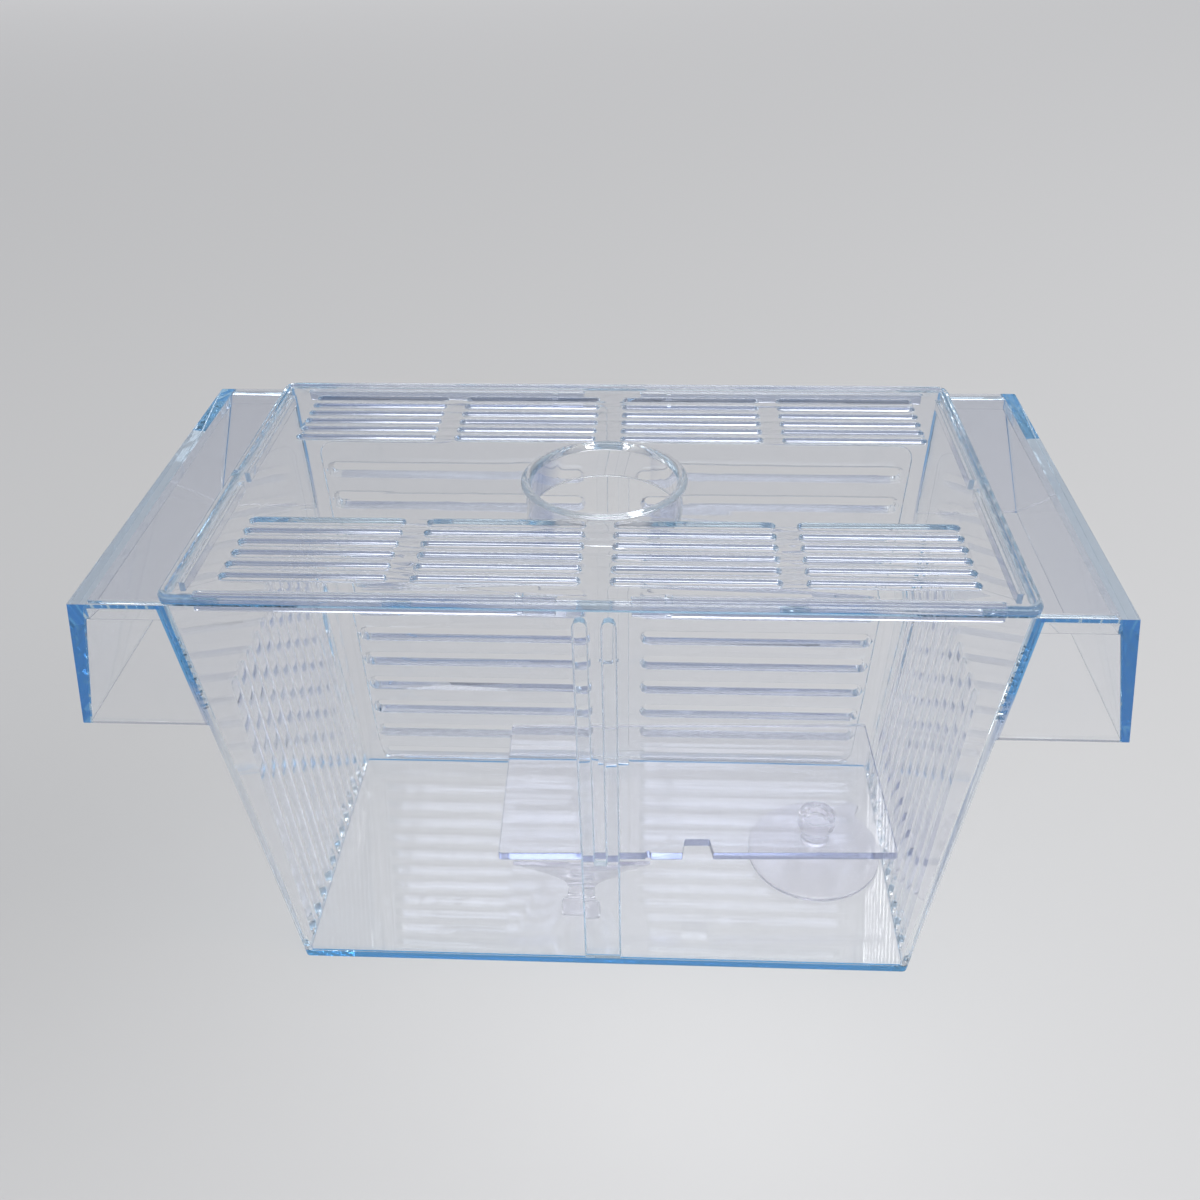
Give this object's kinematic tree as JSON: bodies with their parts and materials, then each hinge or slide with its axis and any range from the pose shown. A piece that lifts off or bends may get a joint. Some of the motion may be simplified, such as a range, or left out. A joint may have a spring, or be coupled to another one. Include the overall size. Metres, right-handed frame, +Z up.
{
  "type": "aquarium breeding box",
  "caption": "Clear tapered fish breeding box with hollow end wings, slotted walls, a lift-off slotted lid with a feeding collar, a loose separator plate and suction cups.",
  "frame": {"origin": "centre of the tank's base, on the surface that it stands on", "axes": "+X along the length towards the right wing, +Y towards the slotted back wall, +Z up"},
  "size_m": [0.2556, 0.12, 0.1378],
  "materials": {
    "tank_plastic": "clear polystyrene with a blue cast at its edges, glossy",
    "lid_plastic": "clear polystyrene with a blue cast at its edges, glossy",
    "plate_plastic": "clear polystyrene with a violet-grey cast, glossy",
    "cup_vinyl": "soft clear vinyl, slightly hazy"
  },
  "bodies": {
    "tank": {"tank": "tank_plastic", "suction_cup_right": "cup_vinyl", "suction_cup_left": "cup_vinyl"},
    "lid": {"lid": "lid_plastic"},
    "plate": {"separator_plate": "plate_plastic"}
  },
  "joints": [
    {"name": "lid_lift", "type": "slide", "parent": "tank", "child": "lid", "axis": [0, 0, 1], "range_m": [0, 0.08]},
    {"name": "plate_lift", "type": "slide", "parent": "tank", "child": "plate", "axis": [0, 0, 1], "range_m": [0, 0.1]}
  ]
}
